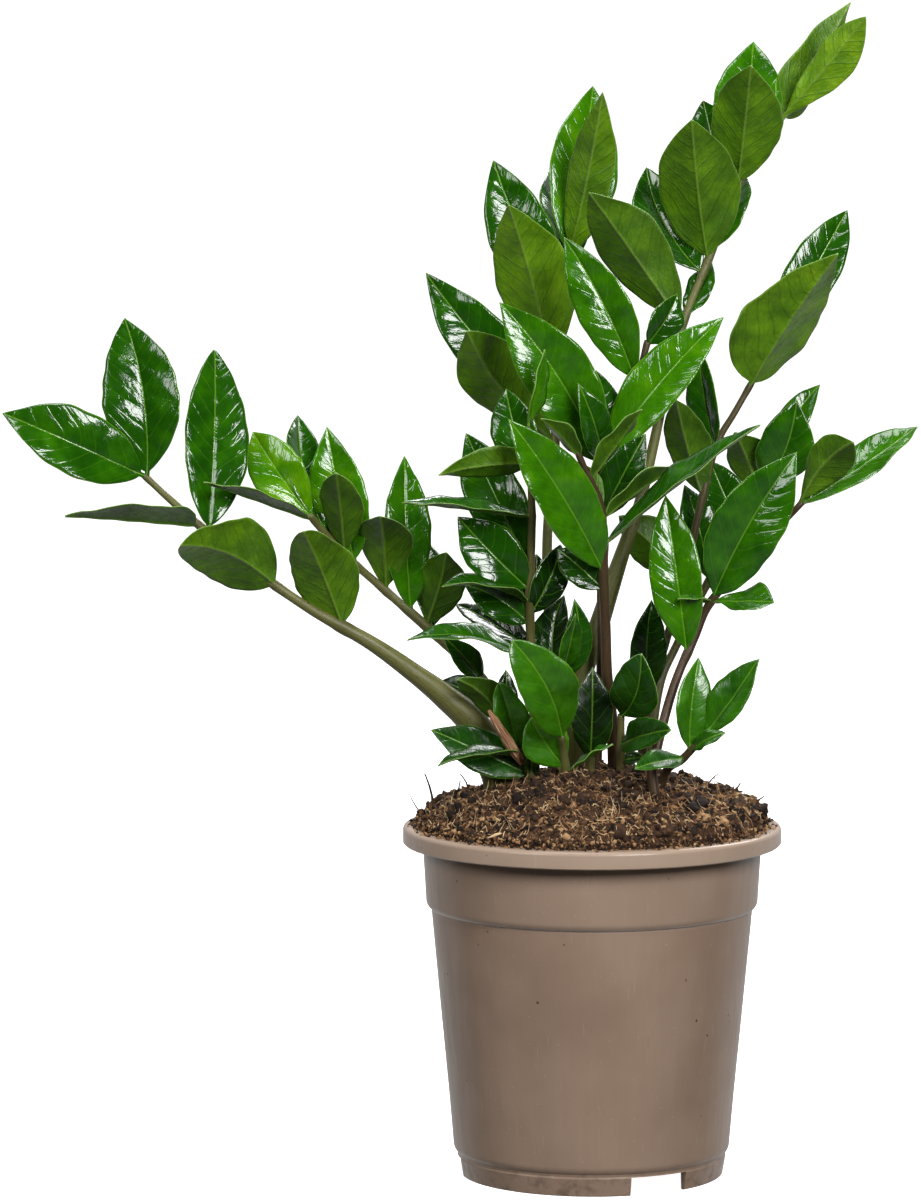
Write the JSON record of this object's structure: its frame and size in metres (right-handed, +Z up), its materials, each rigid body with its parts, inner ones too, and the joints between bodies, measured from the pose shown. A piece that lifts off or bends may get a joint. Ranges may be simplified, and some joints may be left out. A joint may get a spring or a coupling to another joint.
{
  "type": "potted zz plant",
  "caption": "Leafy houseplant: arching fronds of glossy pointed leaflets rise from heaped peat in a tapered plastic nursery pot with a turned-down rim and a notched foot ring.",
  "frame": {"origin": "on the ground, in the middle of the whole plant's footprint; the pot's axis stands 60 mm towards +X and 11 mm towards -Y of it", "axes": "+Z up along the pot's axis, -Y towards the viewer of the picture, +X to the viewer's right"},
  "size_m": [0.4118, 0.1935, 0.5304],
  "materials": {
    "pot": "moulded, satin",
    "peat": "rough, fibrous",
    "leaf": "waxy, glossy above and matt below"
  },
  "bodies": {
    "root": {"pot": "pot", "soil": "peat", "frond_left_front": "leaf", "frond_left_back": "leaf", "frond_centre_left": "leaf", "frond_centre_back": "leaf", "frond_centre_front": "leaf", "frond_centre_right": "leaf", "frond_tall": "leaf", "frond_right_back": "leaf", "frond_right_rear": "leaf", "frond_right_front": "leaf", "shoot_right": "leaf", "shoot_front": "leaf", "shoot_left": "leaf", "shoot_centre_right": "leaf", "shoot_centre_left": "leaf", "shoot_centre": "leaf"}
  },
  "joints": []
}
